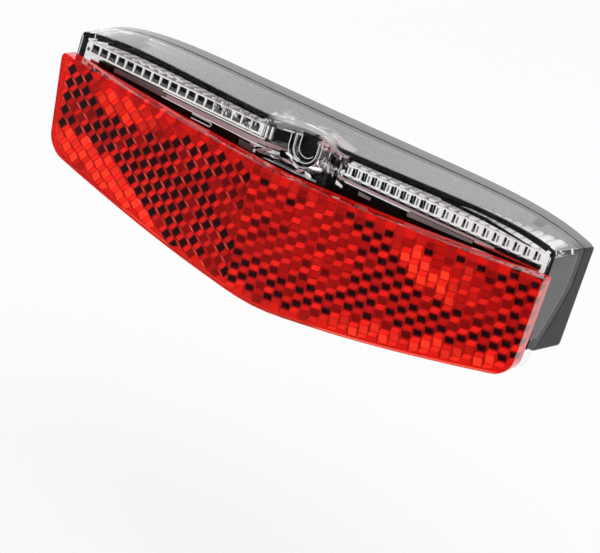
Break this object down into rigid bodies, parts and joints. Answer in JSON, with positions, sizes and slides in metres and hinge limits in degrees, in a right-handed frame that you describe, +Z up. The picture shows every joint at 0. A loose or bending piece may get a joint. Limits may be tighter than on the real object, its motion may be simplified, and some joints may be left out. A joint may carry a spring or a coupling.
{
  "type": "bicycle rear light",
  "caption": "Rack-mounted dynamo rear light with a red prism reflector, a clear window over toothed light guides, a black housing and bolts that slide in slots.",
  "frame": {"origin": "midway between the two bolt axes, on the outer flat face of the back plate", "axes": "+X to the right seen from the front (the reflector side), +Y out of the back towards the rack, +Z up; the front faces -Y"},
  "size_m": [0.1054, 0.0278, 0.0359],
  "materials": {
    "black_plastic": "satin moulded",
    "clear_plastic": "clear moulded",
    "red_plastic": "clear red moulded",
    "guide_plastic": "clear moulded",
    "bright_tray": "vacuum-plated plastic",
    "board": "solder mask",
    "lamp_body": "cast resin",
    "capacitor_sleeve": "shrink sleeve",
    "chip_body": "moulded",
    "terminal_plastic": "satin moulded",
    "contact_brass": "tinned spring brass",
    "zinc_plate": "bright zinc plate"
  },
  "bodies": {
    "light": {"rear_housing": "black_plastic", "front_cover": "clear_plastic", "red_reflector": "red_plastic", "light_guide_left": "guide_plastic", "light_guide_right": "guide_plastic", "guide_tray": "bright_tray", "circuit_board": "board", "centre_lamp": "lamp_body", "side_lamp_left": "lamp_body", "side_lamp_right": "lamp_body", "standlight_capacitor": "capacitor_sleeve", "bridge_rectifier": "chip_body", "regulator": "chip_body", "resistor_left": "chip_body", "resistor_right": "chip_body", "terminal_block": "terminal_plastic", "contact_clip_left": "contact_brass", "contact_clip_right": "contact_brass"},
    "bolt_left": {"mounting_bolt_left": "zinc_plate", "flange_nut_left": "zinc_plate"},
    "bolt_right": {"mounting_bolt_right": "zinc_plate", "flange_nut_right": "zinc_plate"}
  },
  "joints": [
    {"name": "bolt_left_slide", "type": "slide", "parent": "light", "child": "bolt_left", "axis": [-1, 0, 0], "range_m": [0, 0.016]},
    {"name": "bolt_right_slide", "type": "slide", "parent": "light", "child": "bolt_right", "axis": [1, 0, 0], "range_m": [0, 0.016]}
  ]
}
